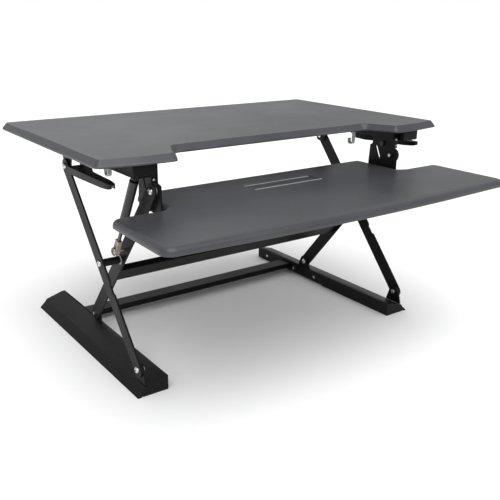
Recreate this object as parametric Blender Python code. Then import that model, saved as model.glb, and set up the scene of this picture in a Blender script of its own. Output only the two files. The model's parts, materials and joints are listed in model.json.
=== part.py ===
"""Standing desk converter: a wide desktop with a lower keyboard tray on a sprung X-frame.

Metres, +Z up, +X to the user's right, +Y away from the user.  The origin is on the surface
that the feet stand on, at the middle of the footprint.  The model stands raised, on its top stop.
Every piece is built for the right-hand side and mirrored for the left.
"""

import math

import bmesh
import bpy
from mathutils import Matrix, Vector

# ---- driving dimensions -------------------------------------------------------------------
FEET_FRONT_Y = -0.1655         # front end of both feet; most depths are measured from here
FOOT_LENGTH = 0.569
GAP = 0.0003                   # between touching pieces

ARM_LENGTH = 0.4898            # scissor arm, pivot to pivot
ARM_ANGLE = math.radians(49.44)  # arms above the horizontal when raised
ARM_WIDTH = 0.0325
ARM_THICK = 0.0045
OUTER_ARM_X = 0.3815           # middle of the outer arms' thickness
INNER_ARM_X = 0.3342
PIVOT_FRONT_Y = FEET_FRONT_Y + 0.0265
PIVOT_LOW_Z = 0.0506
BOLT_R = 0.0040
HOLE_R = BOLT_R + GAP

DESK_WIDTH = 0.914
DESK_BACK_Y = FEET_FRONT_Y + 0.552
DESK_TOP_Z = 0.5000
DESK_THICK = 0.0160
DESK_BEVEL_IN = 0.0105
DESK_BEVEL_DROP = 0.0123

TRAY_TOP_Z = 0.3949
TRAY_THICK = 0.0160
TRAY_FRONT_Y = FEET_FRONT_Y - 0.2380
TRAY_EDGE_R = 0.0120

FOOT_INNER_X = 0.3268
FOOT_OUTER_X = 0.3980
FOOT_TOP_Z = 0.0335
FOOT_WALL = 0.0022
PAD_THICK = 0.0040

RAIL_INNER_X = 0.3380
RAIL_OUTER_X = 0.3850
RAIL_LOW_Z = 0.4588
RAIL_WALL = 0.0020

HANGER_X = 0.3232              # inner face of the hanger plates
HANGER_THICK = 0.0030

# ---- places that follow from them ---------------------------------------------------------
RISE = ARM_LENGTH * math.sin(ARM_ANGLE)
REACH = ARM_LENGTH * math.cos(ARM_ANGLE)
PIVOT_REAR_Y = PIVOT_FRONT_Y + REACH
PIVOT_HIGH_Z = PIVOT_LOW_Z + RISE
CENTRE = (PIVOT_FRONT_Y + REACH / 2, PIVOT_LOW_Z + RISE / 2)
DESK_LOW_Z = DESK_TOP_Z - DESK_THICK
TRAY_LOW_Z = TRAY_TOP_Z - TRAY_THICK
RAIL_FRONT_Y = FEET_FRONT_Y + 0.0035
RAIL_BACK_Y = FEET_FRONT_Y + 0.548
LEVER_AXIS = (FEET_FRONT_Y + 0.265, 0.4750)
GAS_TOP = (FEET_FRONT_Y + 0.054, 0.4480)
STUD_ALONG = 0.040             # gas spring stud, along the inner arm above the centre pivot
STUD = (CENTRE[0] - STUD_ALONG * math.cos(ARM_ANGLE), CENTRE[1] + STUD_ALONG * math.sin(ARM_ANGLE))
STUD_R = 0.0030
GAS_X = 0.3550                 # middle of the gas springs
GAS_EYE_CLEAR = 0.0024         # free play round the stud

# ---- finishes -------------------------------------------------------------------------------
FINISHES = {
    "charcoal_laminate": ((0.190, 0.196, 0.200), 0.42, 0.0),
    "black_powder_coat": ((0.020, 0.020, 0.022), 0.45, 0.0),
    "zinc": ((0.620, 0.630, 0.640), 0.28, 1.0),
    "black_nylon": ((0.015, 0.015, 0.016), 0.55, 0.0),
    "grey_plastic": ((0.520, 0.530, 0.530), 0.50, 0.0),
    "black_rubber": ((0.012, 0.012, 0.012), 0.85, 0.0),
    "spring_steel": ((0.300, 0.300, 0.310), 0.35, 1.0),
}


def clear_scene():
    for obj in list(bpy.data.objects):
        bpy.data.objects.remove(obj, do_unlink=True)


def finish(name):
    """The shared Principled material of one finish."""
    if name in bpy.data.materials:
        return bpy.data.materials[name]
    colour, roughness, metallic = FINISHES[name]
    material = bpy.data.materials.new(name)
    material.use_nodes = True
    shader = material.node_tree.nodes["Principled BSDF"]
    shader.inputs["Base Color"].default_value = (*colour, 1.0)
    shader.inputs["Roughness"].default_value = roughness
    shader.inputs["Metallic"].default_value = metallic
    return material


def pivot_empty(name, place, parent=None):
    """An empty on a joint's axis; the pieces of that body hang from it."""
    empty = bpy.data.objects.new(name, None)
    bpy.context.collection.objects.link(empty)
    empty.parent = parent
    empty.location = Vector(place) - Vector(parent["place"] if parent else (0, 0, 0))
    empty["place"] = Vector(place)
    return empty


def add_piece(name, bm, look, body, side=1, smooth=False):
    """Turn a bmesh in world coordinates into a node of a body, mirrored for the left side."""
    if side < 0:
        bmesh.ops.scale(bm, vec=(-1, 1, 1), verts=bm.verts)
        bmesh.ops.reverse_faces(bm, faces=bm.faces)
    bmesh.ops.translate(bm, vec=-Vector(body["place"]), verts=bm.verts)
    mesh = bpy.data.meshes.new(name)
    bm.to_mesh(mesh)
    bm.free()
    obj = bpy.data.objects.new(name, mesh)
    bpy.context.collection.objects.link(obj)
    obj.parent = body
    if look is None:
        obj.hide_render = True
        obj.display_type = "WIRE"
        return obj
    mesh.materials.append(finish(look))
    if smooth:
        mesh.shade_smooth()
        mesh.set_sharp_from_angle(angle=math.radians(35))
    return obj


def combine(target, tool, operation):
    """Join a hidden shape to a piece, or cut it out."""
    modifier = target.modifiers.new(tool.name, "BOOLEAN")
    modifier.operation = operation
    modifier.object = tool
    modifier.solver = "EXACT"


# ---- shapes ---------------------------------------------------------------------------------
def rounded(corners, steps=4):
    """Outline through (u, v, radius) corners, each rounded by an arc."""
    points = []
    count = len(corners)
    for i, (u, v, radius) in enumerate(corners):
        here = Vector((u, v))
        if radius <= 0:
            points.append(here)
            continue
        before = (Vector(corners[i - 1][:2]) - here).normalized()
        after = (Vector(corners[(i + 1) % count][:2]) - here).normalized()
        half = before.angle(after) / 2
        reach = radius / math.tan(half)
        centre = here + (before + after).normalized() * (radius / math.sin(half))
        start = here + before * reach - centre
        turn = start.angle_signed(here + after * reach - centre)
        for k in range(steps + 1):
            points.append(centre + Matrix.Rotation(-turn * k / steps, 2) @ start)
    return points


def circle(centre, radius, steps=16):
    turn = 2 * math.pi / steps
    return [Vector((centre[0] + radius * math.cos(turn * k), centre[1] + radius * math.sin(turn * k)))
            for k in range(steps)]


def plate(outline, low, high, axis="X", holes=()):
    """Flat plate with round holes: an outline extruded along an axis, from low to high."""
    place = {
        "X": lambda p: (low, p[0], p[1]),
        "Y": lambda p: (p[0], low, p[1]),
        "Z": lambda p: (p[0], p[1], low),
    }[axis]
    along = {"X": (1, 0, 0), "Y": (0, 1, 0), "Z": (0, 0, 1)}[axis]
    bm = bmesh.new()
    for loop in (outline, *holes):
        verts = [bm.verts.new(place(p)) for p in loop]
        for a, b in zip(verts, verts[1:] + verts[:1]):
            bm.edges.new((a, b))
    if holes:
        bmesh.ops.triangle_fill(bm, use_beauty=True, use_dissolve=False, edges=bm.edges)
    else:
        bmesh.ops.contextual_create(bm, geom=bm.verts[:] + bm.edges[:])
    raised = bmesh.ops.extrude_face_region(bm, geom=bm.faces)["geom"]
    moved = [v for v in raised if isinstance(v, bmesh.types.BMVert)]
    bmesh.ops.translate(bm, vec=Vector(along) * (high - low), verts=moved)
    bmesh.ops.recalc_face_normals(bm, faces=bm.faces)
    return bm


def box(low, high):
    bm = bmesh.new()
    bmesh.ops.create_cube(bm, size=1.0)
    low, high = Vector(low), Vector(high)
    bmesh.ops.scale(bm, vec=high - low, verts=bm.verts)
    bmesh.ops.translate(bm, vec=(low + high) / 2, verts=bm.verts)
    return bm


def turned(profile, place, direction, steps=18):
    """Body of revolution: (along, radius) profile points spun about an axis through place."""
    bm = bmesh.new()
    verts = [bm.verts.new((radius, 0, along)) for along, radius in profile]
    edges = [bm.edges.new(pair) for pair in zip(verts, verts[1:])]
    bmesh.ops.spin(bm, geom=verts + edges, cent=(0, 0, 0), axis=(0, 0, 1), dvec=(0, 0, 0),
                   angle=2 * math.pi, steps=steps, use_merge=True, use_duplicate=False)
    bmesh.ops.remove_doubles(bm, verts=bm.verts, dist=1e-6)
    bmesh.ops.recalc_face_normals(bm, faces=bm.faces)
    turn = Vector((0, 0, 1)).rotation_difference(Vector(direction)).to_matrix().to_4x4()
    bmesh.ops.transform(bm, matrix=Matrix.Translation(place) @ turn, verts=bm.verts)
    return bm


def bolt(place, length, head_r=0.0072, head_h=0.0042, shank_r=BOLT_R, nut=True):
    """Dome-headed pivot bolt along X: place is under the head, the shank runs towards -X."""
    dome = [(head_h * math.sin(a), head_r * math.cos(a))
            for a in (math.radians(d) for d in (0, 25, 50, 72))]
    profile = [(head_h, 0.0), *reversed(dome), (0.0, shank_r)]
    if nut:
        profile += [(-length + 0.005, shank_r), (-length + 0.005, shank_r + 0.0026)]
        profile += [(-length, shank_r + 0.0026), (-length, 0.0)]
    else:
        profile += [(-length, shank_r), (-length, 0.0)]
    return turned(profile, place, (1, 0, 0), steps=14)


def arm_outline(start, end, width, notch=False):
    """Flat bar with round ends about two pivots, in the (y, z) plane."""
    axis = (Vector(end) - Vector(start)).normalized()
    across = Vector((-axis.y, axis.x))
    half = width / 2
    points = []
    for centre, facing in ((Vector(end), axis), (Vector(start), -axis)):
        side = Vector((facing.y, -facing.x))
        for k in range(9):
            turn = math.pi * k / 8
            points.append(centre + side * (half * math.cos(turn)) + facing * (half * math.sin(turn)))
        if notch and centre == Vector(end):
            depth, middle = 0.0045, (Vector(end) - Vector(start)).length * 0.365
            for along, cut in ((middle + 0.016, 0), (middle + 0.010, depth),
                               (middle - 0.010, depth), (middle - 0.016, 0)):
                points.append(Vector(start) + axis * along + across * (half - cut))
    return points


# ---- desktop and tray -----------------------------------------------------------------------
def desk_outline():
    half = DESK_WIDTH / 2
    front = FEET_FRONT_Y
    right = [
        (0.262, front + 0.060, 0.014),
        (0.297, front - 0.014, 0.014),
        (0.375, front - 0.0105, 0.300),
        (half, front + 0.003, 0.015),
        (half, DESK_BACK_Y, 0.018),
    ]
    left = [(-x, y, r) for x, y, r in reversed(right)]
    return rounded(right + left, steps=6)


def make_desktop(body):
    bm = plate(desk_outline(), DESK_LOW_Z, DESK_TOP_Z - DESK_BEVEL_DROP, "Z")
    top = [f for f in bm.faces if f.normal.z > 0.9]
    bmesh.ops.inset_region(bm, faces=top, thickness=DESK_BEVEL_IN, use_even_offset=True)
    bmesh.ops.translate(bm, vec=(0, 0, DESK_BEVEL_DROP), verts=top[0].verts)
    add_piece("desktop", bm, "charcoal_laminate", body)


def tray_outline():
    half, wing_back = 0.4455, FEET_FRONT_Y - 0.0100
    centre_half, back = 0.3180, FEET_FRONT_Y + 0.1340
    bow = 0.0160
    corner_y = TRAY_FRONT_Y + bow
    front = [(0.43 * k / 4, TRAY_FRONT_Y + bow * (k / 4) ** 2, 0.0) for k in (1, 2, 3)]
    right = front + [
        (half, corner_y, 0.024),
        (half - 0.003, wing_back, 0.018),
        (centre_half + 0.016, wing_back, 0.020),
        (centre_half, wing_back + 0.010, 0.012),
        (centre_half, back, 0.015),
    ]
    left = [(-x, y, r) for x, y, r in reversed(right)]
    return rounded(right + left + [(0.0, TRAY_FRONT_Y, 0.0)], steps=6)


def make_tray(body):
    bm = plate(tray_outline(), TRAY_LOW_Z, TRAY_TOP_Z, "Z")
    rim = [e for e in bm.edges if all(abs(v.co.z - TRAY_TOP_Z) < 1e-6 for v in e.verts)]
    bmesh.ops.bevel(bm, geom=rim, offset=TRAY_EDGE_R, offset_type="OFFSET", segments=5,
                    profile=0.5, affect="EDGES", material=-1, clamp_overlap=False)
    tray = add_piece("keyboard_tray", bm, "charcoal_laminate", body)
    recess = box((-0.094, FEET_FRONT_Y + 0.020, TRAY_TOP_Z - 0.0030),
                 (0.094, FEET_FRONT_Y + 0.066, TRAY_TOP_Z + 0.0050))
    combine(tray, add_piece("cut_tray_recess", recess, None, body), "DIFFERENCE")


# ---- base -----------------------------------------------------------------------------------
def make_foot(side, word, body):
    """Folded steel foot: sloped skirt, gently sloped top, upright inner wall, closed ends."""
    back = FEET_FRONT_Y + FOOT_LENGTH
    outer = [(FOOT_INNER_X, PAD_THICK), (FOOT_INNER_X, FOOT_TOP_Z), (0.3350, FOOT_TOP_Z),
             (0.3790, 0.0205), (0.3830, 0.0145), (FOOT_OUTER_X, 0.0006),
             (0.3890, 0.0006), (0.3870, PAD_THICK)]
    shell = plate([Vector(p) for p in outer], FEET_FRONT_Y, back, "Y")
    foot = add_piece(f"foot_{word}", shell, "black_powder_coat", body, side)
    wall = FOOT_WALL
    inner = [(FOOT_INNER_X + wall, -0.010), (FOOT_INNER_X + wall, FOOT_TOP_Z - wall),
             (0.3345, FOOT_TOP_Z - wall), (0.3770, 0.0190), (0.3805, 0.0135), (0.3905, -0.010)]
    hollow = plate([Vector(p) for p in inner], FEET_FRONT_Y + wall, back - wall, "Y")
    combine(foot, add_piece(f"cut_foot_{word}", hollow, None, body, side), "DIFFERENCE")
    slot = box((0.3291, PIVOT_REAR_Y - 0.030, 0.028), (0.3319, PIVOT_REAR_Y + 0.200, 0.040))
    combine(foot, add_piece(f"cut_slot_{word}", slot, None, body, side), "DIFFERENCE")
    for name, start, end in (("front", 0.001, 0.259), ("rear", 0.507, 0.567)):
        pad = box((FOOT_INNER_X, FEET_FRONT_Y + start, 0.0),
                  (0.3842, FEET_FRONT_Y + end, PAD_THICK - GAP))
        add_piece(f"{name}_pad_{word}", pad, "black_rubber", body, side)


def make_base_crossbar(body):
    front, height, wall = FEET_FRONT_Y + 0.406, 0.0152, 0.0022
    low = 0.0125
    back = front + 0.042
    outline = [(front, low), (front, low + height), (back, low + height), (back, low),
               (back - wall, low), (back - wall, low + height - wall),
               (front + wall, low + height - wall), (front + wall, low)]
    span = FOOT_INNER_X - GAP
    bm = plate([Vector(p) for p in outline], -span, span, "X")
    add_piece("base_crossbar", bm, "black_powder_coat", body)


def make_front_ear(side, word, body):
    """Upright lug welded to the foot, which carries the outer arm's lower pivot."""
    y0 = FEET_FRONT_Y
    inner, outer = 0.3742, 0.3787
    foot_z = 0.0224
    outline = rounded([(y0 + 0.003, foot_z, 0), (y0 + 0.052, foot_z, 0),
                       (PIVOT_FRONT_Y + 0.012, PIVOT_LOW_Z + 0.014, 0.010),
                       (PIVOT_FRONT_Y - 0.012, PIVOT_LOW_Z + 0.014, 0.010)])
    hole = circle((PIVOT_FRONT_Y, PIVOT_LOW_Z), HOLE_R)
    bm = plate(outline, inner, outer, "X", [hole])
    add_piece(f"front_ear_{word}", bm, "black_powder_coat", body, side)
    pin = bolt((OUTER_ARM_X + ARM_THICK / 2 + GAP, PIVOT_FRONT_Y, PIVOT_LOW_Z), 0.0155)
    add_piece(f"lower_front_bolt_{word}", pin, "zinc", body, side, smooth=True)


# ---- scissor frame --------------------------------------------------------------------------
def make_outer_arm(side, word, body):
    start, end = (PIVOT_FRONT_Y, PIVOT_LOW_Z), (PIVOT_REAR_Y, PIVOT_HIGH_Z)
    holes = [circle(p, HOLE_R) for p in (start, CENTRE, end)]
    half = ARM_THICK / 2
    bm = plate(arm_outline(start, end, ARM_WIDTH, notch=True),
               OUTER_ARM_X - half, OUTER_ARM_X + half, "X", holes)
    add_piece(f"outer_arm_{word}", bm, "black_powder_coat", body, side)
    inner_face = INNER_ARM_X - half
    outer_face = OUTER_ARM_X + half
    length = outer_face - inner_face + 2 * GAP + 0.005
    pin = bolt((outer_face + GAP, *CENTRE), length)
    add_piece(f"centre_bolt_{word}", pin, "zinc", body, side, smooth=True)
    start_x, end_x = INNER_ARM_X + half + GAP, OUTER_ARM_X - half - GAP
    tube = plate(circle(CENTRE, 0.0085), start_x, end_x, "X", [circle(CENTRE, HOLE_R)])
    add_piece(f"centre_spacer_{word}", tube, "black_powder_coat", body, side, smooth=True)


def make_inner_arm(side, word, body):
    start, end = (PIVOT_REAR_Y, PIVOT_LOW_Z), (PIVOT_FRONT_Y, PIVOT_HIGH_Z)
    holes = [circle(p, HOLE_R) for p in (start, CENTRE, end)] + [circle(STUD, STUD_R + GAP)]
    half = ARM_THICK / 2
    bm = plate(arm_outline(start, end, ARM_WIDTH), INNER_ARM_X - half, INNER_ARM_X + half,
               "X", holes)
    add_piece(f"inner_arm_{word}", bm, "black_powder_coat", body, side)
    head_x = GAS_X + 0.0058
    stud = bolt((head_x, *STUD), head_x - (INNER_ARM_X - half) + 0.0015, head_r=0.0095,
                head_h=0.0035, shank_r=STUD_R, nut=False)
    add_piece(f"gas_stud_{word}", stud, "zinc", body, side, smooth=True)


def make_inner_crossbar(body):
    """Channel welded between the inner arms, below the centre pivot, open to the rear."""
    along = Vector((-math.cos(ARM_ANGLE), math.sin(ARM_ANGLE)))
    front = Vector((-along.y, along.x))
    middle = Vector(CENTRE) - along * 0.0600
    height, depth, wall = 0.0420, 0.0154, 0.0022
    shape = [(-height, depth), (height, depth), (height, -depth), (height - 2 * wall, -depth),
             (height - 2 * wall, depth - 2 * wall), (-height + 2 * wall, depth - 2 * wall),
             (-height + 2 * wall, -depth), (-height, -depth)]
    outline = [middle + along * (a / 2) + front * (d / 2) for a, d in shape]
    span = INNER_ARM_X - ARM_THICK / 2 - GAP
    add_piece("inner_crossbar", plate(outline, -span, span, "X"), "black_powder_coat", body)


def make_lower_slider(side, word, body):
    """Steel ear that runs in the foot's slot on a nylon glide, under the inner arm's lower end."""
    inner, outer = 0.3294, 0.3316
    y, z = PIVOT_REAR_Y, PIVOT_LOW_Z
    outline = rounded([(y - 0.025, 0.0120, 0), (y + 0.025, 0.0120, 0), (y + 0.025, 0.0370, 0),
                       (y + 0.011, z + 0.015, 0.008), (y - 0.011, z + 0.015, 0.008),
                       (y - 0.025, 0.0370, 0)])
    holes = [circle((y, z), HOLE_R), circle((y, 0.0200), 0.0023)]
    add_piece(f"lower_ear_{word}", plate(outline, inner, outer, "X", holes),
              "black_powder_coat", body, side)
    glide_outline = rounded([(y - 0.028, 0.0080, 0.003), (y + 0.028, 0.0080, 0.003),
                             (y + 0.028, 0.0277, 0.003), (y - 0.028, 0.0277, 0.003)], steps=2)
    glide = plate(glide_outline, outer + GAP, 0.3440, "X")
    add_piece(f"lower_glide_{word}", glide, "black_nylon", body, side)
    pin = bolt((0.0, y, z), 0.0118, head_h=0.0036, nut=False)
    bmesh.ops.scale(pin, vec=(-1, 1, 1), verts=pin.verts)
    bmesh.ops.reverse_faces(pin, faces=pin.faces)
    bmesh.ops.translate(pin, vec=(inner - GAP, 0, 0), verts=pin.verts)
    add_piece(f"lower_rear_bolt_{word}", pin, "zinc", body, side, smooth=True)


# ---- upper sliders and height lock ----------------------------------------------------------
def make_upper_slider(side, word, body):
    """Nylon glide in the rail, with the bracket that carries the outer arm, and the lock rack."""
    y, z = PIVOT_REAR_Y, PIVOT_HIGH_Z
    inner, outer = 0.3746, 0.3784
    top = DESK_LOW_Z - RAIL_WALL - 0.0010
    outline = rounded([(y - 0.026, top, 0), (y - 0.026, RAIL_LOW_Z - 0.006, 0),
                       (y - 0.014, z - 0.015, 0.009), (y + 0.014, z - 0.015, 0.009),
                       (y + 0.026, RAIL_LOW_Z - 0.006, 0), (y + 0.026, top, 0)])
    bracket = plate(outline, inner, outer, "X", [circle((y, z), HOLE_R)])
    add_piece(f"upper_bracket_{word}", bracket, "black_powder_coat", body, side)
    low, high = RAIL_LOW_Z + RAIL_WALL + 0.0006, DESK_LOW_Z - RAIL_WALL - 0.0006
    glide = box((RAIL_INNER_X + RAIL_WALL + 0.0006, y - 0.030, low), (inner - GAP, y + 0.030, high))
    add_piece(f"upper_glide_{word}", glide, "black_nylon", body, side)
    pin = bolt((OUTER_ARM_X + ARM_THICK / 2 + GAP, y, z), 0.0155)
    add_piece(f"upper_rear_bolt_{word}", pin, "zinc", body, side, smooth=True)
    rack_back, pitch, teeth = y - 0.030 - GAP, 0.0125, 14
    outline = [Vector((rack_back, low + 0.0008)), Vector((rack_back, low + 0.0052))]
    for k in range(teeth):
        tooth = rack_back - 0.030 - pitch * k
        outline += [Vector((tooth, low + 0.0052)), Vector((tooth, low + 0.0026)),
                    Vector((tooth - 0.0060, low + 0.0026)), Vector((tooth - 0.0072, low + 0.0052))]
    rack_front = rack_back - 0.030 - pitch * teeth - 0.005
    outline += [Vector((rack_front, low + 0.0052)), Vector((rack_front, low + 0.0008))]
    rack = plate(outline, 0.3500, 0.3620, "X")
    add_piece(f"lock_rack_{word}", rack, "spring_steel", body, side)


def make_release(side, word, body):
    """Squeeze lever on a cross shaft; the shaft's pawl drops between the rack's teeth."""
    y, z = LEVER_AXIS
    top = 0.4470
    wall = 0.0020
    stations = [  # y from the feet's front, inner x, outer x, flange drop
        (0.228, 0.3885, 0.4230, 0.0140), (0.180, 0.3885, 0.4230, 0.0150),
        (0.150, 0.3995, 0.4230, 0.0145), (0.060, 0.4030, 0.4230, 0.0125),
        (0.034, 0.4070, 0.4220, 0.0105), (0.026, 0.4100, 0.4190, 0.0085),
    ]
    bm = bmesh.new()
    rings = []
    for depth, inner, outer, drop in stations:
        here = FEET_FRONT_Y + depth
        shape = [(inner, top - drop), (inner, top), (outer, top), (outer, top - drop),
                 (outer - wall, top - drop), (outer - wall, top - wall),
                 (inner + wall, top - wall), (inner + wall, top - drop)]
        rings.append([bm.verts.new((x, here, h)) for x, h in shape])
    for near, far in zip(rings, rings[1:]):
        for k in range(8):
            bm.faces.new((near[k], near[(k + 1) % 8], far[(k + 1) % 8], far[k]))
    for ring in (rings[0], rings[-1]):
        bm.faces.new(ring)
    bmesh.ops.recalc_face_normals(bm, faces=bm.faces)
    lever = add_piece(f"release_lever_{word}", bm, "black_powder_coat", body, side)
    lug_outline = rounded([(y - 0.055, top - 0.010, 0), (y - 0.040, top - 0.010, 0),
                           (y + 0.008, z - 0.0070, 0.004), (y + 0.008, z + 0.0055, 0.005),
                           (y - 0.008, z + 0.0055, 0.005)])
    lug = plate(lug_outline, 0.3880, 0.3908, "X", [circle((y, z), 0.0035 + GAP, 16)])
    combine(lever, add_piece(f"join_lug_{word}", lug, None, body, side), "UNION")
    shaft = turned([(0.0, 0.0), (0.0, 0.0035), (0.0582, 0.0035), (0.0582, 0.0)],
                   (0.3345, y, z), (1, 0, 0), steps=16)
    pawl_shaft = add_piece(f"pawl_shaft_{word}", shaft, "spring_steel", body, side)
    rack_top = RAIL_LOW_Z + RAIL_WALL + 0.0006 + 0.0052
    nose = [(y + 0.005, z - 0.0030), (y + 0.005, z + 0.0050), (y - 0.026, z + 0.0030),
            (y - 0.026, rack_top + 0.0006), (y - 0.021, rack_top + 0.0006), (y - 0.018, z - 0.0030)]
    pawl = plate([Vector(p) for p in nose], 0.3500, 0.3620, "X")
    combine(pawl_shaft, add_piece(f"join_pawl_{word}", pawl, None, body, side), "UNION")


# ---- platform -------------------------------------------------------------------------------
def make_rail(side, word, body):
    """Roll-formed rail under the desktop, with a slot along its underside for the bracket."""
    low, high, wall = RAIL_LOW_Z, DESK_LOW_Z - GAP, RAIL_WALL
    inner, outer = RAIL_INNER_X, RAIL_OUTER_X
    slot_in, slot_out = 0.3738, 0.3792
    outline = [(slot_in, low), (inner, low), (inner, high), (outer, high), (outer, low),
               (slot_out, low), (slot_out, low + wall), (outer - wall, low + wall),
               (outer - wall, high - wall), (inner + wall, high - wall),
               (inner + wall, low + wall), (slot_in, low + wall)]
    bm = plate([Vector(p) for p in outline], RAIL_FRONT_Y, RAIL_BACK_Y, "Y")
    rail = add_piece(f"rail_{word}", bm, "black_powder_coat", body, side)
    y, z = LEVER_AXIS
    drill = turned([(0, 0), (0, 0.0040), (0.070, 0.0040), (0.070, 0)], (0.325, y, z), (1, 0, 0), 16)
    combine(rail, add_piece(f"cut_rail_{word}", drill, None, body, side), "DIFFERENCE")
    front = box((inner, RAIL_FRONT_Y - 0.0030, low + 0.0025), (outer, RAIL_FRONT_Y - GAP, high))
    add_piece(f"rail_end_{word}", front, "black_powder_coat", body, side)


def make_hanger(side, word, body):
    """Plate bracket that carries the tray; its front flange bolts up, its lower lip holds the tray."""
    y0 = FEET_FRONT_Y
    inner, outer = HANGER_X, HANGER_X + HANGER_THICK
    top, low = DESK_LOW_Z - GAP, TRAY_LOW_Z - 0.0030
    front = y0 + 0.0200
    outline = rounded([(front, top, 0), (front, 0.4385, 0), (y0 + 0.007, 0.4355, 0.003),
                       (y0 + 0.007, low, 0.004), (y0 + 0.100, low, 0.004), (y0 + 0.100, 0.400, 0),
                       (y0 + 0.097, 0.4390, 0.002), (y0 + 0.089, 0.4440, 0.002),
                       (y0 + 0.089, top, 0)])
    slot = arm_outline((y0 + 0.0615, 0.4080), (y0 + 0.0746, 0.4370), 0.0055)
    holes = [circle((PIVOT_FRONT_Y, PIVOT_HIGH_Z), HOLE_R), circle(GAS_TOP, HOLE_R), slot]
    hanger = add_piece(f"hanger_{word}", plate(outline, inner, outer, "X", holes),
                       "black_powder_coat", body, side)
    lip = box((0.2880, y0 + 0.008, low), (inner + 0.001, y0 + 0.080, TRAY_LOW_Z - GAP))
    combine(hanger, add_piece(f"join_lip_{word}", lip, None, body, side), "UNION")
    reach = RAIL_INNER_X - GAP
    flange = box((outer - 0.001, front - 0.0004, 0.4400), (reach, front + 0.0026, top))
    combine(hanger, add_piece(f"join_flange_{word}", flange, None, body, side), "UNION")
    head = INNER_ARM_X + ARM_THICK / 2 + GAP
    pin = bolt((head, PIVOT_FRONT_Y, PIVOT_HIGH_Z), head - inner + GAP + 0.005)
    add_piece(f"upper_front_bolt_{word}", pin, "zinc", body, side, smooth=True)
    head = GAS_X + 0.0046
    pin = bolt((head, *GAS_TOP), head - inner + GAP + 0.005, head_r=0.0055, head_h=0.0032)
    add_piece(f"gas_pin_{word}", pin, "zinc", body, side, smooth=True)


def make_cable_hook(side, word, body):
    """Moulded J-shaped cable hook on the underside of the rail."""
    y, z = FEET_FRONT_Y + 0.190, RAIL_LOW_Z - GAP
    outline = rounded([(y - 0.007, z, 0), (y - 0.007, z - 0.035, 0.007), (y + 0.012, z - 0.035, 0.007),
                       (y + 0.012, z - 0.020, 0.0), (y + 0.0085, z - 0.020, 0.0),
                       (y + 0.0085, z - 0.0315, 0.004), (y - 0.0035, z - 0.0315, 0.004),
                       (y - 0.0035, z - 0.004, 0), (y + 0.006, z - 0.004, 0), (y + 0.006, z, 0)])
    add_piece(f"cable_hook_{word}", plate(outline, 0.3440, 0.3540, "X"), "grey_plastic", body, side)


# ---- gas springs ----------------------------------------------------------------------------
def gas_line():
    start, end = Vector(GAS_TOP), Vector(STUD)
    along = (end - start).normalized()
    return start, along, (end - start).length


def make_gas_cylinder(side, word, body):
    start, along, _ = gas_line()
    direction = (0, along.x, along.y)
    bore, radius, length = 0.0043, 0.0095, 0.1160
    profile = [(0.0070, 0.0), (0.0070, 0.0038), (0.0080, 0.0038), (0.0092, radius - 0.0015),
               (0.0105, radius), (length - 0.004, radius), (length, radius - 0.0020),
               (length, bore), (0.0450, bore), (0.0450, 0.0)]
    tube = add_piece(f"gas_cylinder_{word}", turned(profile, (GAS_X, *start), direction),
                     "black_powder_coat", body, side, smooth=True)
    eye_half = 0.0040
    eye = plate(circle(start, 0.0090), GAS_X - eye_half, GAS_X + eye_half, "X",
                [circle(start, HOLE_R)])
    combine(tube, add_piece(f"join_eye_{word}", eye, None, body, side), "UNION")


def make_gas_rod(side, word, body):
    start, along, span = gas_line()
    direction = (0, along.x, along.y)
    clevis_start = span - 0.0330
    profile = [(0.0800, 0.0), (0.0800, 0.0040), (clevis_start - GAP, 0.0040),
               (clevis_start - GAP, 0.0)]
    add_piece(f"gas_rod_{word}", turned(profile, (GAS_X, *start), direction, 16),
              "zinc", body, side, smooth=True)
    across = Vector((-along.y, along.x))
    eye_r = STUD_R + GAS_EYE_CLEAR + 0.0030
    eye_centre = Vector(STUD)
    outline = [eye_centre + along * (clevis_start - span) - across * 0.0065,
               eye_centre - along * (eye_r * 0.80) - across * 0.0065]
    first = math.asin(0.0065 / eye_r)
    for k in range(13):
        turn = math.pi + first + (2 * math.pi - 2 * first) * k / 12
        outline.append(eye_centre + along * (eye_r * math.cos(turn)) + across * (eye_r * math.sin(turn)))
    outline += [eye_centre - along * (eye_r * 0.80) + across * 0.0065,
                eye_centre + along * (clevis_start - span) + across * 0.0065]
    del outline[1]
    del outline[-2]
    hole = circle(eye_centre, STUD_R + GAS_EYE_CLEAR)
    clevis = plate(outline, GAS_X - 0.0052, GAS_X + 0.0052, "X", [hole])
    add_piece(f"gas_clevis_{word}", clevis, "zinc", body, side)


# ---- assembly -------------------------------------------------------------------------------
clear_scene()
base = pivot_empty("base", (0, 0, 0))
outer_arms = pivot_empty("outer_arms", (0, PIVOT_FRONT_Y, PIVOT_LOW_Z), base)
inner_frame = pivot_empty("inner_frame", (0, *CENTRE), outer_arms)
lower_sliders = pivot_empty("lower_sliders", (0, PIVOT_REAR_Y, PIVOT_LOW_Z), inner_frame)
upper_sliders = pivot_empty("upper_sliders", (0, PIVOT_REAR_Y, PIVOT_HIGH_Z), outer_arms)
platform = pivot_empty("platform", (0, PIVOT_FRONT_Y, PIVOT_HIGH_Z), inner_frame)

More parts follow.
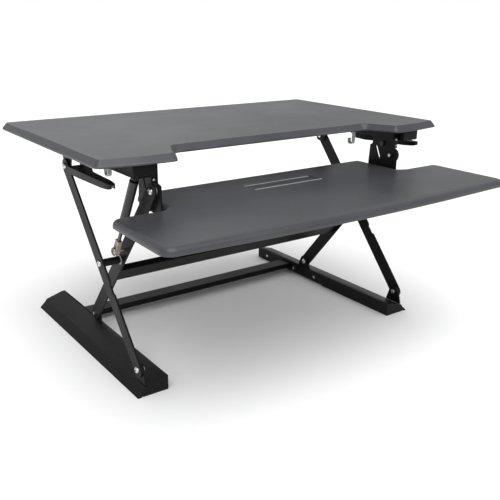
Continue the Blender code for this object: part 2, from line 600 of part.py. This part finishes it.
make_base_crossbar(base)
make_inner_crossbar(inner_frame)
make_desktop(platform)
make_tray(platform)
for side, word in ((1, "right"), (-1, "left")):
    make_foot(side, word, base)
    make_front_ear(side, word, base)
    make_outer_arm(side, word, outer_arms)
    make_inner_arm(side, word, inner_frame)
    make_lower_slider(side, word, lower_sliders)
    make_upper_slider(side, word, upper_sliders)
    make_rail(side, word, platform)
    make_hanger(side, word, platform)
    make_cable_hook(side, word, platform)
    release = pivot_empty(f"release_{word}", (0, *LEVER_AXIS), platform)
    make_release(side, word, release)
    cylinder = pivot_empty(f"gas_cylinder_pivot_{word}", (0, *GAS_TOP), platform)
    make_gas_cylinder(side, word, cylinder)
    rod = pivot_empty(f"gas_rod_slide_{word}", (0, *GAS_TOP), cylinder)
    make_gas_rod(side, word, rod)
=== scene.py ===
import json
import math

import bmesh
import bpy
from mathutils import Matrix, Vector


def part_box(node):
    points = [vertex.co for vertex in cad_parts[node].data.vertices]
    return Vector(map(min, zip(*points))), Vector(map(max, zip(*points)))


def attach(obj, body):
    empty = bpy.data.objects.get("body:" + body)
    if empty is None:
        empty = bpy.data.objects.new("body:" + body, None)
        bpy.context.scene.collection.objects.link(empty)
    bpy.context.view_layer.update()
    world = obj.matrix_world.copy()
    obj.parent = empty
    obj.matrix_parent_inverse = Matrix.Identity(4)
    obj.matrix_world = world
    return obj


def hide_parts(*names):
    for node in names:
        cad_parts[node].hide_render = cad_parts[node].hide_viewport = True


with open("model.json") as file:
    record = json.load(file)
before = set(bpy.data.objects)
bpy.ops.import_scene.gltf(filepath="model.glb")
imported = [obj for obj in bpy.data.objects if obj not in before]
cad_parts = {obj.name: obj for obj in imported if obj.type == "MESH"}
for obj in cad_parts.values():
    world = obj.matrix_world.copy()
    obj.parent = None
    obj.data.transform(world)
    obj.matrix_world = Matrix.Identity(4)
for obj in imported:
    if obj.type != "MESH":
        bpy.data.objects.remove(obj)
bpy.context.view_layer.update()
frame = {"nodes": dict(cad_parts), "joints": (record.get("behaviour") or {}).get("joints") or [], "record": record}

# ---- Feet ---------------------------------------------------------------------------------------
# Each foot is a channel folded from 2.2 mm steel sheet and powder coated satin black.
# Three socket screws in its upright inner wall hold the track that the sliding arm runs in.
BODIES = frame["record"]["behaviour"]["bodies"]
BODY_OF = {node: body for body, nodes in BODIES.items() for node in nodes}
SIDES = {"left": -1, "right": 1}


def corners_of(node):
    """The low and the high corner of a CAD node's box, as vectors."""
    return [Vector(corner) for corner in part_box(node)]


def add_piece(name, bm, look, body, stands_for=(), sharp=50):
    """Makes a piece from a bmesh that is already in place, and lets it ride on a body."""
    mesh = bpy.data.meshes.new(name)
    bm.to_mesh(mesh)
    bm.free()
    mesh.shade_smooth()
    mesh.set_sharp_from_angle(angle=math.radians(sharp))
    mesh.materials.append(look)
    piece = bpy.data.objects.new(name, mesh)
    bpy.context.collection.objects.link(piece)
    normals = piece.modifiers.new("flat_faces_stay_flat", "WEIGHTED_NORMAL")
    normals.keep_sharp = True
    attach(piece, body)
    if stands_for:
        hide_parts(*stands_for)
    return piece


def eased_copy(node, name, ease, look, segments=2):
    """A piece with a CAD node's own shape and its sharp edges rounded over by ease metres."""
    bm = bmesh.new()
    bm.from_mesh(frame["nodes"][node].data)
    wear_and_highlight = bm.faces.layers.float.new("edge_wear_and_highlight")
    bmesh.ops.remove_doubles(bm, verts=bm.verts, dist=1e-6)
    bmesh.ops.dissolve_limit(bm, angle_limit=math.radians(1), verts=bm.verts, edges=bm.edges)
    limit = math.radians(30)
    sharp = [e for e in bm.edges if len(e.link_faces) == 2 and e.calc_face_angle(0) > limit]
    rounded = bmesh.ops.bevel(bm, geom=sharp, offset=ease, offset_type="OFFSET", segments=segments,
                              profile=0.5, affect="EDGES", material=-1, clamp_overlap=True)
    # The rounded faces are marked for a lighter edge colour: partly wear, partly a painted highlight.
    for face in rounded["faces"]:
        face[wear_and_highlight] = 1.0
    return add_piece(name, bm, look, BODY_OF[node], stands_for=(node,))


def make_grain():
    """Group of masks between 0 and 1: fine grain, slow mottling, and wear with a painted highlight along rounded
    edges.
    """
    group = bpy.data.node_groups.new("grain_wear_and_highlight", "ShaderNodeTree")
    group.interface.new_socket("Place", in_out="INPUT", socket_type="NodeSocketVector")
    for word in ("Fine scale", "Slow scale"):
        group.interface.new_socket(word, in_out="INPUT", socket_type="NodeSocketFloat")
    for word in ("Fine", "Slow", "Wear and highlight"):
        group.interface.new_socket(word, in_out="OUTPUT", socket_type="NodeSocketFloat")
    nodes, links = group.nodes, group.links
    given = nodes.new("NodeGroupInput")
    result = nodes.new("NodeGroupOutput")
    for word in ("Fine", "Slow"):
        noise = nodes.new("ShaderNodeTexNoise")
        noise.inputs["Detail"].default_value = 4.0
        links.new(given.outputs["Place"], noise.inputs["Vector"])
        links.new(given.outputs[word + " scale"], noise.inputs["Scale"])
        spread = nodes.new("ShaderNodeMapRange")
        spread.inputs["From Min"].default_value = 0.32
        spread.inputs["From Max"].default_value = 0.68
        links.new(noise.outputs["Fac"], spread.inputs["Value"])
        links.new(spread.outputs["Result"], result.inputs[word])
    # Rounded edges, in slow patches, get a lighter colour: partly wear, partly a painted highlight.
    edge = nodes.new("ShaderNodeAttribute")
    edge.attribute_name = "edge_wear_and_highlight"
    patches = nodes.new("ShaderNodeMapRange")
    patches.inputs["From Min"].default_value = 0.45
    patches.inputs["From Max"].default_value = 0.75
    links.new(spread.outputs["Result"], patches.inputs["Value"])
    edge_wear_highlight_mask = nodes.new("ShaderNodeMath")
    edge_wear_highlight_mask.operation = "MULTIPLY"
    links.new(edge.outputs["Fac"], edge_wear_highlight_mask.inputs[0])
    links.new(patches.outputs["Result"], edge_wear_highlight_mask.inputs[1])
    links.new(edge_wear_highlight_mask.outputs["Value"], result.inputs["Wear and highlight"])
    return group


GRAIN = make_grain()


def make_finish(name, dark, light, wear_and_highlight, roughness, fine=900.0, slow=9.0, height=0.15,
                metallic=0.0, specular=0.5):
    """A finish that drifts between two colours, with a grain you can feel and rubbed edges lightened by wear and a
    painted highlight.
    """
    look = bpy.data.materials.new(name)
    look.use_nodes = True
    nodes, links = look.node_tree.nodes, look.node_tree.links
    shader = nodes["Principled BSDF"]
    shader.inputs["Metallic"].default_value = metallic
    shader.inputs["Specular IOR Level"].default_value = specular
    place = nodes.new("ShaderNodeTexCoord")
    grain = nodes.new("ShaderNodeGroup")
    grain.node_tree = GRAIN
    grain.inputs["Fine scale"].default_value = fine
    grain.inputs["Slow scale"].default_value = slow
    links.new(place.outputs["Object"], grain.inputs["Place"])
    drift = nodes.new("ShaderNodeMath")
    drift.operation = "MULTIPLY_ADD"
    drift.inputs[1].default_value = 0.45
    links.new(grain.outputs["Fine"], drift.inputs[0])
    mottling = nodes.new("ShaderNodeMath")
    mottling.operation = "MULTIPLY"
    mottling.inputs[1].default_value = 0.55
    links.new(grain.outputs["Slow"], mottling.inputs[0])
    links.new(mottling.outputs["Value"], drift.inputs[2])
    tint = nodes.new("ShaderNodeValToRGB")
    tint.color_ramp.elements[0].color = (*dark, 1)
    tint.color_ramp.elements[1].color = (*light, 1)
    links.new(drift.outputs["Value"], tint.inputs["Fac"])
    edge = nodes.new("ShaderNodeMix")          # its two colours are inputs 6 and 7, and output 2
    edge.data_type = "RGBA"
    # The lighter edge colour is partly wear and partly a painted highlight along the rounded edges.
    edge.inputs[7].default_value = (*wear_and_highlight, 1)
    links.new(grain.outputs["Wear and highlight"], edge.inputs[0])
    links.new(tint.outputs["Color"], edge.inputs[6])
    links.new(edge.outputs[2], shader.inputs["Base Color"])
    gloss = nodes.new("ShaderNodeMapRange")
    gloss.inputs["To Min"].default_value = roughness - 0.05
    gloss.inputs["To Max"].default_value = roughness + 0.06
    links.new(grain.outputs["Slow"], gloss.inputs["Value"])
    links.new(gloss.outputs["Result"], shader.inputs["Roughness"])
    bump = nodes.new("ShaderNodeBump")
    bump.inputs["Strength"].default_value = height
    bump.inputs["Distance"].default_value = 0.0003
    links.new(grain.outputs["Fine"], bump.inputs["Height"])
    links.new(bump.outputs["Normal"], shader.inputs["Normal"])
    return look


# The third colour of each finish is its lighter edge colour: partly wear, partly a painted highlight.
powder_coat = make_finish("satin_black_powder_coat", (0.0055, 0.0055, 0.0060),
                          (0.0095, 0.0095, 0.0100), (0.034, 0.034, 0.035), 0.42,
                          fine=1100.0, height=0.22, specular=0.12)
zinc_plate = make_finish("bright_zinc_plate", (0.52, 0.53, 0.55), (0.72, 0.73, 0.74),
                         (0.85, 0.85, 0.86), 0.27, fine=700.0, slow=60.0, height=0.05,
                         metallic=1.0)


def spin_profile(profile, steps=48, closed=False):
    """Shape of revolution about Z, from a line or closed ring of (radius, along) points."""
    bm = bmesh.new()
    line = [bm.verts.new((radius, 0, along)) for radius, along in profile]
    following = line[1:] + line[:1] if closed else line[1:]
    edges = [bm.edges.new(pair) for pair in zip(line, following)]
    bmesh.ops.spin(bm, geom=line + edges, cent=(0, 0, 0), axis=(0, 0, 1), dvec=(0, 0, 0),
                   angle=2 * math.pi, steps=steps, use_merge=True, use_duplicate=False)
    bmesh.ops.remove_doubles(bm, verts=bm.verts, dist=1e-6)
    bmesh.ops.recalc_face_normals(bm, faces=bm.faces)
    return bm


TIP_EASE = 0.0004              # chamfer at the end of a bolt's shank
NUT_WIDER = 0.0026             # from the shank to the nut's corners
NUT_SET_BACK = 0.0008          # the shank stands this far out of its nut


def bolt_shape(length, head_r, head_h, shank_r, nut_h=0.0):
    """Dome-headed socket bolt along +Z, with the underside of its head at the origin."""
    rim = head_r * 0.46
    angles = [math.radians(15 * k) for k in range(7)]
    profile = [(rim + (head_r - rim) * math.sin(a), head_h * math.cos(a)) for a in angles]
    profile += [(shank_r, 0.0), (shank_r, -length + TIP_EASE), (shank_r - TIP_EASE, -length),
                (0.0, -length)]
    bm = spin_profile(profile, steps=36)
    mouth = [e for e in bm.edges if e.is_boundary]
    key = bmesh.ops.create_circle(bm, segments=6, radius=rim * 0.80,
                                  matrix=Matrix.Translation((0, 0, head_h)))["verts"]
    hexagon = [e for e in bm.edges if all(v in key for v in e.verts)]
    bmesh.ops.bridge_loops(bm, edges=mouth + hexagon)
    wall = bmesh.ops.extrude_edge_only(bm, edges=hexagon)["geom"]
    floor = [v for v in wall if isinstance(v, bmesh.types.BMVert)]
    bmesh.ops.translate(bm, vec=(0, 0, -head_h * 0.6), verts=floor)
    bmesh.ops.contextual_create(bm, geom=floor)
    if nut_h:
        shank_faces = set(bm.faces)
        middle = Matrix.Translation((0, 0, -length + nut_h / 2 + NUT_SET_BACK))
        nut = bmesh.ops.create_cone(bm, cap_ends=True, segments=6, radius1=shank_r + NUT_WIDER,
                                    radius2=shank_r + NUT_WIDER, depth=nut_h, matrix=middle)
        corners = {e for v in nut["verts"] for e in v.link_edges}
        bmesh.ops.bevel(bm, geom=list(corners), offset=0.0004, offset_type="OFFSET", segments=2,
                        profile=0.5, affect="EDGES", material=-1)
        for face in set(bm.faces) - shank_faces:
            face.material_index = 1
    bmesh.ops.recalc_face_normals(bm, faces=bm.faces)
    return bm


def aim(bm, place, direction):
    """Turns a shape from +Z to a direction and sets it down at a place."""
    turn = Vector((0, 0, 1)).rotation_difference(Vector(direction)).to_matrix().to_4x4()
    bmesh.ops.transform(bm, matrix=Matrix.Translation(place) @ turn, verts=bm.verts)
    return bm


FOOT_SCREW_HEIGHT = 0.016
FOOT_SCREW_DEPTHS = (0.295, 0.390, 0.523)      # from the front of the foot
for word, side in SIDES.items():
    eased_copy(f"foot_{word}", f"foot_shell_{word}", 0.0008, powder_coat)
    low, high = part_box(f"foot_{word}")
    wall_x = side * min(abs(low[0]), abs(high[0]))
    for number, depth in enumerate(FOOT_SCREW_DEPTHS):
        screw = bolt_shape(length=0.0015, head_r=0.0042, head_h=0.0016, shank_r=0.0020)
        aim(screw, (wall_x, low[1] + depth, FOOT_SCREW_HEIGHT), (-side, 0, 0))
        add_piece(f"foot_screw_{word}_{number + 1}", screw, zinc_plate, "base", sharp=40)

# ---- Pads under the feet ------------------------------------------------------------------------
# Strips of dense black foam rubber, stuck under the front and the rear of each foot.
# They are cut from sheet, so the edges are slightly soft and the surface is open-grained.
foam_rubber = make_finish("black_foam_rubber", (0.009, 0.009, 0.009), (0.020, 0.020, 0.020),
                          (0.03, 0.03, 0.03), 0.85, fine=1600.0, slow=30.0, height=0.6,
                          specular=0.25)
for word in SIDES:
    for end in ("front", "rear"):
        eased_copy(f"{end}_pad_{word}", f"{end}_foot_pad_{word}", 0.0006, foam_rubber)

# ---- Crossbar between the feet ------------------------------------------------------------------
# A shallow steel channel, open downwards, that is screwed between the inner walls of the feet.
# It is coated with the same satin black powder as the feet.
eased_copy("base_crossbar", "feet_crossbar", 0.0009, powder_coat)

# ---- Front ears and their pivots ----------------------------------------------------------------
# A steel lug stands on each foot and carries the lower end of the outer arm on a zinc bolt.
# Bolt heads are domed with a hexagon socket, and each bolt ends in a plain hexagon nut.
HEAD_CLEARANCE = 0.00005       # the head stays this far inside the CAD bolt's


def fit_bolt(node, name, head_h=0.0042, shank_r=0.0040, nut_h=0.005, facing=1,
             look=zinc_plate, nut_look=zinc_plate):
    """Makes the bolt that stands for a CAD bolt; facing is -1 where its head is on the inside."""
    low, high = corners_of(node)
    side = 1 if low.x + high.x > 0 else -1
    reach = sorted((abs(low.x), abs(high.x)))
    head_end = reach[1] if facing > 0 else reach[0]
    seat = (side * (head_end - facing * head_h), (low.y + high.y) / 2, (low.z + high.z) / 2)
    head_r = (high.z - low.z) / 2 - HEAD_CLEARANCE
    shape = bolt_shape(reach[1] - reach[0] - head_h, head_r, head_h, shank_r, nut_h)
    aim(shape, seat, (side * facing, 0, 0))
    piece = add_piece(name, shape, look, BODY_OF[node], (node,), sharp=40)
    piece.data.materials.append(nut_look)
    return piece


for word in SIDES:
    eased_copy(f"front_ear_{word}", f"foot_lug_{word}", 0.0004, powder_coat)
    fit_bolt(f"lower_front_bolt_{word}", f"foot_lug_bolt_{word}")

# ---- Outer arms ---------------------------------------------------------------------------------
# Flat steel bars, laser cut with round ends and a shallow notch, one on each side of the frame.
# The cut edges keep a small radius under the powder coat.
for word in SIDES:
    eased_copy(f"outer_arm_{word}", f"outer_scissor_arm_{word}", 0.0005, powder_coat)

# ---- Centre pivots ------------------------------------------------------------------------------
# Where two arms cross, a long zinc bolt runs through a black spacer tube between them.
# A white nylon washer keeps the tube off the inner arm's paint.
white_nylon = make_finish("white_nylon", (0.62, 0.62, 0.60), (0.74, 0.74, 0.72),
                          (0.8, 0.8, 0.8), 0.45, fine=500.0, slow=80.0, height=0.08)
WASHER_R = 0.0108
WASHER_THICK = 0.0011


WASHER_PLAY = 0.0001


def tube_shape(inner_r, outer_r, length, ease=0.0002):
    """Short tube or washer along +Z from the origin, with its outer edges eased."""
    ring = [(inner_r, 0.0), (outer_r - ease, 0.0), (outer_r, ease), (outer_r, length - ease),
            (outer_r - ease, length), (inner_r, length)]
    return spin_profile(ring, steps=40, closed=True)


for word, side in SIDES.items():
    fit_bolt(f"centre_bolt_{word}", f"crossing_bolt_{word}")
    eased_copy(f"centre_spacer_{word}", f"crossing_tube_{word}", 0.0004, powder_coat)
    low, high = corners_of(f"centre_spacer_{word}")
    start = side * min(abs(low.x), abs(high.x))
    washer = tube_shape((high.z - low.z) / 2 + WASHER_PLAY, WASHER_R, WASHER_THICK)
    aim(washer, (start, (low.y + high.y) / 2, (low.z + high.z) / 2), (side, 0, 0))
    add_piece(f"crossing_washer_{word}", washer, white_nylon, "outer_arms",
              sharp=40)

# ---- Inner arms and their crossbar --------------------------------------------------------------
# The inner pair of flat bars is welded to a folded channel, so both sides rise together.
# A shouldered zinc stud on each arm takes the lower end of the gas spring.
yellow_zinc = make_finish("yellow_zinc_plate", (0.30, 0.27, 0.22), (0.46, 0.42, 0.35),
                          (0.7, 0.66, 0.58), 0.30, fine=700.0, slow=70.0, height=0.05,
                          metallic=1.0)
eased_copy("inner_crossbar", "inner_frame_crossbar", 0.0009, powder_coat)
for word in SIDES:
    eased_copy(f"inner_arm_{word}", f"inner_scissor_arm_{word}", 0.0005, powder_coat)
    fit_bolt(f"gas_stud_{word}", f"gas_spring_stud_{word}", head_h=0.0035, shank_r=0.0030,
             nut_h=0.0, look=yellow_zinc)

# ---- Lower sliders ------------------------------------------------------------------------------
# Under each inner arm a steel ear runs in the slot of the foot, on a black nylon glide.
# The arm turns on a zinc bolt whose head is on the inside.
nylon = make_finish("black_nylon", (0.010, 0.010, 0.011), (0.017, 0.017, 0.018),
                    (0.035, 0.035, 0.036), 0.50, fine=600.0, slow=25.0, height=0.12,
                    specular=0.4)
for word in SIDES:
    eased_copy(f"lower_ear_{word}", f"slider_ear_{word}", 0.0003, powder_coat)
    eased_copy(f"lower_glide_{word}", f"foot_glide_{word}", 0.0006, nylon)
    fit_bolt(f"lower_rear_bolt_{word}", f"slider_ear_bolt_{word}", head_h=0.0036, nut_h=0.0,
             facing=-1)

# ---- Upper sliders and the height lock ----------------------------------------------------------
# A nylon block slides in the rail under the desktop and carries a steel bracket for the outer arm.
# A toothed steel rack is fixed to the block, and the release levers' pawls hold it.
bare_steel = make_finish("plain_steel", (0.22, 0.22, 0.23), (0.36, 0.36, 0.37),
                         (0.55, 0.55, 0.56), 0.36, fine=800.0, slow=40.0, height=0.12,
                         metallic=1.0)
for word in SIDES:
    eased_copy(f"upper_bracket_{word}", f"rail_bracket_{word}", 0.0004, powder_coat)
    eased_copy(f"upper_glide_{word}", f"rail_glide_{word}", 0.0006, nylon)
    eased_copy(f"lock_rack_{word}", f"toothed_rack_{word}", 0.0002, bare_steel)
    fit_bolt(f"upper_rear_bolt_{word}", f"rail_bracket_bolt_{word}")

# ---- Rails --------------------------------------------------------------------------------------
# Roll-formed steel rails are screwed under the desktop, each closed by a small plate in front.
# The plate catches more light than the rail because it faces the user.
for word in SIDES:
    eased_copy(f"rail_{word}", f"slide_rail_{word}", 0.0006, powder_coat)
    eased_copy(f"rail_end_{word}", f"rail_end_plate_{word}", 0.0005, powder_coat)

# ---- Hangers ------------------------------------------------------------------------------------
# Laser-cut plates hang from the rails and hold the keyboard tray on a folded lip.
# The arm and the gas spring pivot on bolts with blackened nuts, the arm on a white nylon bush.
FLANGE_SET_BACK = 0.0126       # from the front of the hanger to the face of its flange
FLANGE_SCREW_INSET = 0.0050    # from the outer face of the hanger
FLANGE_SCREWS = ((0.022, 0.0036), (0.037, 0.0026))     # below the hanger's top, radius of head
BUSH_R = 0.0092
BUSH_BORE_R = 0.0041
BUSH_LENGTH = 0.0046
BUSH_GAP = 0.0002              # between the bush and the arm
black_oxide = make_finish("black_oxide_steel", (0.010, 0.010, 0.010), (0.018, 0.018, 0.019),
                          (0.05, 0.05, 0.05), 0.36, fine=700.0, slow=50.0, height=0.08,
                          specular=0.4)
for word, side in SIDES.items():
    eased_copy(f"hanger_{word}", f"tray_hanger_{word}", 0.0004, powder_coat)
    fit_bolt(f"upper_front_bolt_{word}", f"hanger_arm_bolt_{word}", nut_look=black_oxide)
    fit_bolt(f"gas_pin_{word}", f"gas_spring_pin_{word}", head_h=0.0032, look=black_oxide,
             nut_look=black_oxide)
    low, high = corners_of(f"inner_arm_{word}")
    bush_x = side * (min(abs(low.x), abs(high.x)) - BUSH_GAP)
    low, high = corners_of(f"upper_front_bolt_{word}")
    bush = tube_shape(BUSH_BORE_R, BUSH_R, BUSH_LENGTH)
    aim(bush, (bush_x, (low.y + high.y) / 2, (low.z + high.z) / 2), (-side, 0, 0))
    add_piece(f"hanger_arm_bush_{word}", bush, white_nylon, "inner_frame",
              sharp=40)
    low, high = corners_of(f"hanger_{word}")
    screw_x = side * (max(abs(low.x), abs(high.x)) - FLANGE_SCREW_INSET)
    for number, (drop, head_r) in enumerate(FLANGE_SCREWS):
        screw = bolt_shape(length=0.0020, head_r=head_r, head_h=0.0018, shank_r=head_r * 0.5)
        aim(screw, (screw_x, low.y + FLANGE_SET_BACK, high.z - drop), (0, -1, 0))
        add_piece(f"flange_screw_{word}_{number + 1}", screw, zinc_plate, "platform",
                  sharp=40)

# ---- Desktop ------------------------------------------------------------------------------------
# A 16 mm board wrapped in charcoal laminate, with a wide chamfer milled along its edge.
# The laminate is satin, with a fine pebble grain and a faint cloudiness.
laminate = make_finish("charcoal_laminate", (0.036, 0.0375, 0.043), (0.056, 0.058, 0.065),
                       (0.09, 0.094, 0.10), 0.36, fine=420.0, slow=5.0, height=0.35,
                       specular=0.42)
eased_copy("desktop", "desktop_board", 0.0012, laminate, segments=3)

# ---- Keyboard tray ------------------------------------------------------------------------------
# A board of the same laminate with a rounded edge, held between the hangers.
# A shallow recess behind the keyboard takes pens; slim light grey strips along its two long edges are painted
# highlights of those edges.
recess_highlight_grey = make_finish("painted_recess_highlight", (0.30, 0.30, 0.30), (0.40, 0.40, 0.40),
                        (0.5, 0.5, 0.5), 0.35, fine=500.0, slow=60.0, height=0.08)
HIGHLIGHT_STRIP_LENGTH = 0.188
HIGHLIGHT_STRIP_WIDTH = 0.0030
HIGHLIGHT_STRIP_THICK = 0.0016            # its lower half is sunk into the board
RECESS_DEEP = 0.0030
HIGHLIGHT_STRIP_PLACES = (("front", 0.0170, 0.0), ("rear", 0.0642, RECESS_DEEP))    # behind feet_front, drop
eased_copy("keyboard_tray", "keyboard_tray_board", 0.0008, laminate)
tray_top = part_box("keyboard_tray")[1][2]
feet_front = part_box("foot_left")[0][1]
# Each light grey strip is a painted highlight along one long edge of the recess.
for end, depth, drop in HIGHLIGHT_STRIP_PLACES:
    highlight_bar = bmesh.new()
    bmesh.ops.create_cube(highlight_bar, size=1.0)
    bmesh.ops.scale(highlight_bar, vec=(HIGHLIGHT_STRIP_LENGTH, HIGHLIGHT_STRIP_WIDTH, HIGHLIGHT_STRIP_THICK), verts=highlight_bar.verts)
    upright = [e for e in highlight_bar.edges if abs(e.verts[0].co.z - e.verts[1].co.z) > HIGHLIGHT_STRIP_THICK / 2]
    bmesh.ops.bevel(highlight_bar, geom=upright, offset=HIGHLIGHT_STRIP_WIDTH * 0.45, offset_type="OFFSET",
                    segments=4, profile=0.5, affect="EDGES", material=-1)
    top = [e for e in highlight_bar.edges if all(v.co.z > HIGHLIGHT_STRIP_THICK * 0.45 for v in e.verts)]
    bmesh.ops.bevel(highlight_bar, geom=top, offset=0.0004, offset_type="OFFSET", segments=3,
                    profile=0.5, affect="EDGES", material=-1)
    bmesh.ops.translate(highlight_bar, vec=(0, feet_front + depth, tray_top - drop), verts=highlight_bar.verts)
    add_piece(f"pen_recess_painted_highlight_{end}", highlight_bar, recess_highlight_grey, "platform")

# ---- Release levers -----------------------------------------------------------------------------
# Pressed steel levers under the desktop's sides, which the user squeezes to free the height lock.
# Each turns with a plain steel shaft that carries the pawl.
for word in SIDES:
    eased_copy(f"release_lever_{word}", f"squeeze_lever_{word}", 0.0007, powder_coat)
    eased_copy(f"pawl_shaft_{word}", f"lock_pawl_{word}", 0.0003, bare_steel)

# ---- Gas springs --------------------------------------------------------------------------------
# A black-painted cylinder hangs from the hanger's pin, with a crimped collar at its open end.
# A polished rod slides out of it and ends in a zinc clevis on the inner arm's stud.
painted_tube = make_finish("gloss_black_paint", (0.010, 0.010, 0.011), (0.015, 0.015, 0.016),
                           (0.05, 0.05, 0.05), 0.28, fine=500.0, slow=14.0, height=0.05)
polished_rod = make_finish("dark_polished_rod", (0.10, 0.10, 0.10), (0.17, 0.17, 0.17),
                           (0.3, 0.3, 0.3), 0.20, fine=900.0, slow=50.0, height=0.03, metallic=1.0)
JOINTS = {joint["name"]: joint for joint in frame["joints"]}
TUBE_R = 0.0095
TUBE_END = 0.1160              # from the middle of the pin, as are the two below
BORE_BOTTOM = 0.0450
ROD_START = 0.0800
BORE_R = 0.0043
ROD_R = 0.0040
ROD_EASE = 0.0004
EYE_R = 0.0088
EYE_WIDTH = 0.0078
for word in SIDES:
    pin = Vector(JOINTS[f"gas_spring_{word}_swing"]["pos_m"])
    axis = Vector(JOINTS[f"gas_spring_{word}_slide"]["axis"])
    domed_end = [(0, 0.0072), (0.0038, 0.0072), (0.0038, 0.0079), (0.0070, 0.0081),
                 (TUBE_R - 0.0006, 0.0088), (TUBE_R, 0.0100)]
    crimp = [(TUBE_R, TUBE_END - 0.0100), (TUBE_R - 0.0006, TUBE_END - 0.0092),
             (TUBE_R - 0.0006, TUBE_END - 0.0080), (TUBE_R, TUBE_END - 0.0072)]
    collar = [(TUBE_R, TUBE_END - 0.0030), (TUBE_R - 0.0010, TUBE_END - 0.0008),
              (TUBE_R - 0.0022, TUBE_END - 0.0002), (BORE_R + 0.0003, TUBE_END - 0.0002)]
    bore = [(BORE_R, TUBE_END - 0.0010), (BORE_R, BORE_BOTTOM), (0, BORE_BOTTOM)]
    tube = spin_profile(domed_end + crimp + collar + bore)
    eye = bmesh.ops.create_cone(tube, cap_ends=True, segments=32, radius1=EYE_R, radius2=EYE_R,
                                depth=EYE_WIDTH, matrix=Matrix.Rotation(math.pi / 2, 4, "Y"))
    rim = {e for v in eye["verts"] for e in v.link_edges if e.calc_face_angle(0) > 0.8}
    bmesh.ops.bevel(tube, geom=list(rim), offset=0.0006, offset_type="OFFSET", segments=2,
                    profile=0.5, affect="EDGES", material=-1)
    aim(tube, pin, axis)
    node = f"gas_cylinder_{word}"
    add_piece(f"gas_tube_{word}", tube, painted_tube, BODY_OF[node], (node,),
              sharp=35)
    node = f"gas_rod_{word}"
    rod_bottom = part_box(node)[0][2]
    rod_end = (pin.z - rod_bottom - ROD_R * abs(axis.y)) / abs(axis.z)
    rod = spin_profile([(0, ROD_START), (ROD_R - ROD_EASE, ROD_START),
                        (ROD_R, ROD_START + ROD_EASE), (ROD_R, rod_end - ROD_EASE),
                        (ROD_R - ROD_EASE, rod_end), (0, rod_end)])
    aim(rod, pin, axis)
    add_piece(f"polished_rod_{word}", rod, polished_rod, BODY_OF[node], (node,),
              sharp=40)
    eased_copy(f"gas_clevis_{word}", f"rod_clevis_{word}", 0.0006, yellow_zinc)

# ---- Cable hooks --------------------------------------------------------------------------------
# Light grey hooks moulded in plastic, with rounded edges and a fine grain.
# Each is screwed under a rail, to hold the cables.
grey_plastic = make_finish("light_grey_plastic", (0.44, 0.45, 0.46), (0.52, 0.53, 0.54),
                           (0.58, 0.59, 0.60), 0.42, fine=500.0, slow=60.0, height=0.10)
for word in SIDES:
    eased_copy(f"cable_hook_{word}", f"moulded_hook_{word}", 0.0007, grey_plastic)

# ---- Studio -------------------------------------------------------------------------------------
# A plain white floor under a broad, soft ceiling light that leans to the front.
# Two weak, large lights stand above the left front and behind, and the camera at the front left.
FLOOR_HALF = 30.0
sheet = bmesh.new()
bmesh.ops.create_grid(sheet, x_segments=1, y_segments=1, size=FLOOR_HALF)
floor_mesh = bpy.data.meshes.new("studio_floor")
sheet.to_mesh(floor_mesh)
sheet.free()
floor_mesh.materials.append(make_finish("white_floor", (0.93, 0.93, 0.93), (0.95, 0.95, 0.95),
                                        (0.9, 0.9, 0.9), 0.80, fine=60.0, slow=2.0, height=0.0,
                                        specular=0.1))
floor = bpy.data.objects.new("studio_floor", floor_mesh)
bpy.context.collection.objects.link(floor)


def add_light(name, place, target, size, power):
    """A square area light that looks at a target."""
    light = bpy.data.lights.new(name, "AREA")
    light.size = size
    light.energy = power
    lamp = bpy.data.objects.new(name, light)
    bpy.context.collection.objects.link(lamp)
    facing = (Vector(place) - Vector(target)).to_track_quat("Z", "Y").to_matrix().to_4x4()
    lamp.matrix_world = Matrix.Translation(place) @ facing


add_light("key_light", (-2.2, -1.8, 3.0), (0, 0, 0.2), size=2.6, power=14.0)
add_light("rear_light", (0.6, 2.8, 2.6), (0, 0, 0.3), size=2.0, power=10.0)
sky = bpy.data.lights.new("ceiling_light", "SUN")
sky.energy = 2.3
sky.angle = math.radians(60)
ceiling = bpy.data.objects.new("ceiling_light", sky)
bpy.context.collection.objects.link(ceiling)
ceiling.rotation_euler = (math.radians(30), math.radians(-8), 0)

world = bpy.data.worlds.new("studio_air")
bpy.context.scene.world = world
world.use_nodes = True
nodes, links = world.node_tree.nodes, world.node_tree.links
room = nodes["Background"]
room.inputs["Color"].default_value = (1, 1, 1, 1)
room.inputs["Strength"].default_value = 0.60
backdrop = nodes.new("ShaderNodeBackground")
backdrop.inputs["Color"].default_value = (1, 1, 1, 1)
rays = nodes.new("ShaderNodeLightPath")
either = nodes.new("ShaderNodeMixShader")
links.new(rays.outputs["Is Camera Ray"], either.inputs["Fac"])
links.new(room.outputs["Background"], either.inputs[1])
links.new(backdrop.outputs["Background"], either.inputs[2])
links.new(either.outputs["Shader"], nodes["World Output"].inputs["Surface"])
bpy.context.scene.view_settings.view_transform = "Standard"

CAMERA_PLACE = Vector((-0.94413, -1.30965, 0.75061))
YAW, PITCH, ROLL = 0.62514, 0.32884, 0.00846
ahead = Vector((math.sin(YAW) * math.cos(PITCH), math.cos(YAW) * math.cos(PITCH),
                -math.sin(PITCH)))
level = Vector((math.cos(YAW), -math.sin(YAW), 0))
upright = level.cross(ahead)
right = level * math.cos(ROLL) + upright * math.sin(ROLL)
above = upright * math.cos(ROLL) - level * math.sin(ROLL)
lens = bpy.data.cameras.new("camera")
lens.lens = 50.03
lens.sensor_width = 36.0
camera = bpy.data.objects.new("camera", lens)
bpy.context.collection.objects.link(camera)
turn = Matrix((right, above, -ahead)).transposed().to_4x4()
camera.matrix_world = Matrix.Translation(CAMERA_PLACE) @ turn
bpy.context.scene.camera = camera
